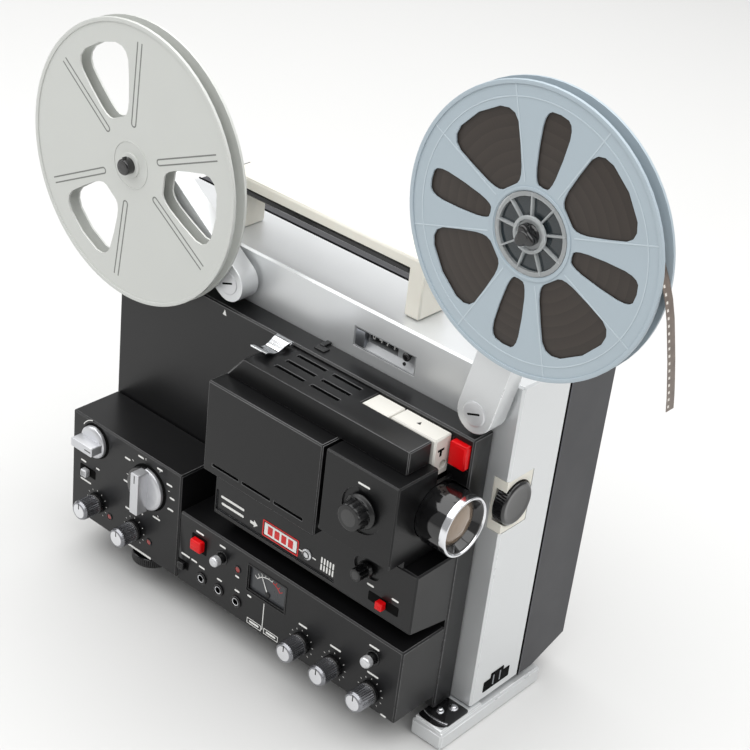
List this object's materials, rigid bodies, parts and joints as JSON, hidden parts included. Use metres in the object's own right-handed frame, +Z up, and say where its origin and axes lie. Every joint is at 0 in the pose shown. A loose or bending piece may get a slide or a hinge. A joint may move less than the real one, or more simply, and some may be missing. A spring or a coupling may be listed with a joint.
{
  "type": "film projector",
  "caption": "Table-top sound film projector with carry handle, folding arms, supply and take-up reels, hinged lamp cover, focusing lens and a front panel of working knobs and switches.",
  "frame": {"origin": "on the floor plane under the middle of the projector's bounding box, the free film end left out", "axes": "+X towards the lens end and the supply reel, -Y out of the control side, +Z up"},
  "size_m": [0.5432, 0.1944, 0.4803],
  "materials": {
    "silver_frame": "satin silver paint on formed sheet",
    "silver_plastic": "satin silver painted moulding",
    "black_plastic": "fine-textured matte black moulding",
    "black_gloss": "glossy black moulding",
    "grey_plastic": "fine-textured charcoal moulding",
    "cream_plastic": "smooth warm cream moulding",
    "white_plastic": "smooth off-white moulding",
    "red_plastic": "glossy red moulding",
    "polished_metal": "bright plated steel",
    "foot_rubber": "matte black rubber",
    "white_reel": "satin white polystyrene",
    "grey_reel": "satin blue-grey polystyrene",
    "clear_hub": "translucent pale moulding",
    "film_stock": "dark brown wound film",
    "optical_glass": "coated optical glass",
    "mechanism_steel": "plain steel"
  },
  "bodies": {
    "chassis": {"amplifier_block": "black_plastic", "base_plate": "black_plastic", "carry_handle": "cream_plastic", "control_block": "black_plastic", "counter_bezel": "silver_frame", "drive_motor": "mechanism_steel", "front_casing": "black_plastic", "handle_insert": "black_plastic", "inching_bezel": "cream_plastic", "lamp_reflector": "optical_glass", "lamphouse_top": "black_plastic", "lens_block": "black_plastic", "mains_inlet": "black_plastic", "meter_case": "black_plastic", "mid_block": "black_plastic", "rear_cover": "grey_plastic", "rubber_foot_front": "foot_rubber", "rubber_foot_rear": "foot_rubber", "silver_frame": "silver_frame", "threading_guide": "white_plastic", "transformer": "mechanism_steel"},
    "lamp_cover": {"lamp_cover": "black_plastic"},
    "push_button": {"push_button": "white_plastic"},
    "threading_lever": {"threading_lever": "polished_metal"},
    "loop_button": {"loop_button": "red_plastic"},
    "counter_drums": {"counter_drums": "black_plastic"},
    "counter_reset": {"counter_reset": "black_plastic"},
    "inching_knob": {"inching_knob": "black_gloss"},
    "shutter": {"shutter_shaft": "mechanism_steel"},
    "tilt_foot": {"tilt_foot": "silver_plastic"},
    "supply_arm": {"supply_arm": "silver_plastic", "film_tail": "film_stock"},
    "supply_reel": {"supply_spindle": "black_gloss", "supply_reel_front": "grey_reel", "supply_reel_rear": "grey_reel", "supply_reel_hub": "clear_hub", "film_pack": "film_stock"},
    "takeup_arm": {"takeup_arm": "silver_plastic"},
    "takeup_reel": {"takeup_spindle": "black_gloss", "takeup_reel_front": "white_reel", "takeup_reel_rear": "white_reel"},
    "lens": {"lens_barrel": "black_plastic", "lens_glass": "optical_glass"},
    "focus_knob": {"focus_knob": "black_plastic"},
    "framer_knob": {"framer_knob": "black_plastic"},
    "sound_switch": {"sound_switch": "red_plastic"},
    "lock_button": {"lock_button": "red_plastic"},
    "record_knob": {"record_knob": "silver_plastic"},
    "bass_knob": {"bass_knob": "silver_plastic"},
    "treble_knob": {"treble_knob": "silver_plastic"},
    "volume_knob": {"volume_knob": "silver_plastic"},
    "power_knob": {"power_knob": "silver_plastic"},
    "amp_slide_switch": {"amp_slide_switch": "black_plastic"},
    "lamp_selector": {"lamp_selector": "silver_plastic"},
    "left_slide_switch": {"left_slide_switch": "black_plastic"},
    "level_knob_left": {"level_knob_left": "silver_plastic"},
    "level_knob_right": {"level_knob_right": "silver_plastic"},
    "selector_knob": {"selector_knob": "silver_plastic"},
    "speed_thumbwheel": {"speed_thumbwheel": "black_plastic"},
    "meter_needle": {"meter_needle": "black_plastic"}
  },
  "joints": [
    {"name": "supply_arm_fold", "type": "hinge", "parent": "chassis", "child": "supply_arm", "pos_m": [0.14558, -0.0128, 0.2525], "axis": [0, -1, 0], "range_deg": [0, 60]},
    {"name": "takeup_arm_fold", "type": "hinge", "parent": "chassis", "child": "takeup_arm", "pos_m": [-0.07292, -0.0128, 0.2525], "axis": [0, -1, 0], "range_deg": [0, 34]},
    {"name": "supply_spin", "type": "hinge", "parent": "supply_arm", "child": "supply_reel", "pos_m": [0.17382, -0.0098, 0.39131], "axis": [0, -1, 0], "continuous": true},
    {"name": "takeup_spin", "type": "hinge", "parent": "takeup_arm", "child": "takeup_reel", "pos_m": [-0.16047, -0.0098, 0.31244], "axis": [0, -1, 0], "continuous": true},
    {"name": "counter_count", "type": "hinge", "parent": "chassis", "child": "counter_drums", "pos_m": [0.03768, -0.0002, 0.2525], "axis": [1, 0, 0], "continuous": true},
    {"name": "counter_reset_push", "type": "slide", "parent": "chassis", "child": "counter_reset", "axis": [0, 1, 0], "range_m": [0, 0.0015], "stiffness_N_per_m": 400, "springref_m": -0.002},
    {"name": "lamp_cover_open", "type": "hinge", "parent": "chassis", "child": "lamp_cover", "pos_m": [-0.03082, -0.0315, 0.18185], "axis": [0, 0, -1], "range_deg": [0, 85]},
    {"name": "push_button_press", "type": "slide", "parent": "chassis", "child": "push_button", "axis": [0, 0, -1], "range_m": [0, 0.003], "stiffness_N_per_m": 400, "springref_m": -0.002},
    {"name": "loop_button_press", "type": "slide", "parent": "chassis", "child": "loop_button", "axis": [0, 1, 0], "range_m": [0, 0.003], "stiffness_N_per_m": 400, "springref_m": -0.002},
    {"name": "threading_lever_lift", "type": "hinge", "parent": "chassis", "child": "threading_lever", "pos_m": [-0.01172, -0.0342, 0.2364], "axis": [-1, 0, 0], "range_deg": [0, 25]},
    {"name": "inching_turn", "type": "hinge", "parent": "chassis", "child": "inching_knob", "pos_m": [0.16708, 0.0017, 0.1835], "axis": [1, 0, 0], "continuous": true},
    {"name": "shutter_spin", "type": "hinge", "parent": "chassis", "child": "shutter", "pos_m": [0.08138, -0.0208, 0.1835], "axis": [1, 0, 0], "continuous": true},
    {"name": "tilt_foot_drop", "type": "slide", "parent": "chassis", "child": "tilt_foot", "axis": [0, 0, -1], "range_m": [0, 0.015]},
    {"name": "focus_turn", "type": "hinge", "parent": "chassis", "child": "focus_knob", "pos_m": [0.11028, -0.0848, 0.1854], "axis": [0, -1, 0], "range_deg": [-60, 60]},
    {"name": "lens_focus", "type": "slide", "parent": "chassis", "child": "lens", "axis": [1, 0, 0], "range_m": [-0.003, 0.003]},
    {"name": "framer_turn", "type": "hinge", "parent": "chassis", "child": "framer_knob", "pos_m": [0.10908, -0.0696, 0.1325], "axis": [0, -1, 0], "range_deg": [-45, 45]},
    {"name": "sound_switch_slide", "type": "slide", "parent": "chassis", "child": "sound_switch", "axis": [1, 0, 0], "range_m": [-0.009, 0.009]},
    {"name": "lock_button_press", "type": "slide", "parent": "chassis", "child": "lock_button", "axis": [0, 1, 0], "range_m": [0, 0.003], "stiffness_N_per_m": 400, "springref_m": -0.002},
    {"name": "record_knob_press", "type": "slide", "parent": "chassis", "child": "record_knob", "axis": [0, 1, 0], "range_m": [0, 0.004], "stiffness_N_per_m": 400, "springref_m": -0.002},
    {"name": "power_knob_press", "type": "slide", "parent": "chassis", "child": "power_knob", "axis": [0, 1, 0], "range_m": [0, 0.004], "stiffness_N_per_m": 400, "springref_m": -0.002},
    {"name": "bass_turn", "type": "hinge", "parent": "chassis", "child": "bass_knob", "pos_m": [0.06338, -0.0736, 0.045], "axis": [0, -1, 0], "range_deg": [-140, 140]},
    {"name": "treble_turn", "type": "hinge", "parent": "chassis", "child": "treble_knob", "pos_m": [0.09378, -0.0736, 0.044], "axis": [0, -1, 0], "range_deg": [-140, 140]},
    {"name": "volume_turn", "type": "hinge", "parent": "chassis", "child": "volume_knob", "pos_m": [0.12758, -0.0736, 0.043], "axis": [0, -1, 0], "range_deg": [-140, 140]},
    {"name": "amp_switch_slide", "type": "slide", "parent": "chassis", "child": "amp_slide_switch", "axis": [1, 0, 0], "range_m": [-0.0013, 0.0013]},
    {"name": "left_switch_slide", "type": "slide", "parent": "chassis", "child": "left_slide_switch", "axis": [1, 0, 0], "range_m": [-0.0035, 0.0035]},
    {"name": "lamp_selector_turn", "type": "hinge", "parent": "chassis", "child": "lamp_selector", "pos_m": [-0.15292, -0.0736, 0.102], "axis": [0, -1, 0], "range_deg": [-35, 35]},
    {"name": "level_left_turn", "type": "hinge", "parent": "chassis", "child": "level_knob_left", "pos_m": [-0.14972, -0.0736, 0.0485], "axis": [0, -1, 0], "range_deg": [-140, 140]},
    {"name": "level_right_turn", "type": "hinge", "parent": "chassis", "child": "level_knob_right", "pos_m": [-0.10802, -0.0736, 0.0464], "axis": [0, -1, 0], "range_deg": [-140, 140]},
    {"name": "selector_turn", "type": "hinge", "parent": "chassis", "child": "selector_knob", "pos_m": [-0.09492, -0.0736, 0.091], "axis": [0, -1, 0], "range_deg": [-90, 90]},
    {"name": "speed_wheel_turn", "type": "hinge", "parent": "chassis", "child": "speed_thumbwheel", "pos_m": [-0.10142, -0.0598, 0.0287], "axis": [0, 0, 1], "range_deg": [-30, 30]},
    {"name": "meter_swing", "type": "hinge", "parent": "chassis", "child": "meter_needle", "pos_m": [0.02718, -0.0671, 0.0639], "axis": [0, -1, 0], "range_deg": [-38, 38], "stiffness_Nm_per_rad": 0.0001}
  ],
  "couplings": [
    {"joint": "shutter_spin", "follows": "inching_turn", "ratio": -1},
    {"joint": "counter_count", "follows": "takeup_spin", "ratio": 0.1},
    {"joint": "focus_turn", "follows": "lens_focus", "rad_per_m": 349}
  ]
}
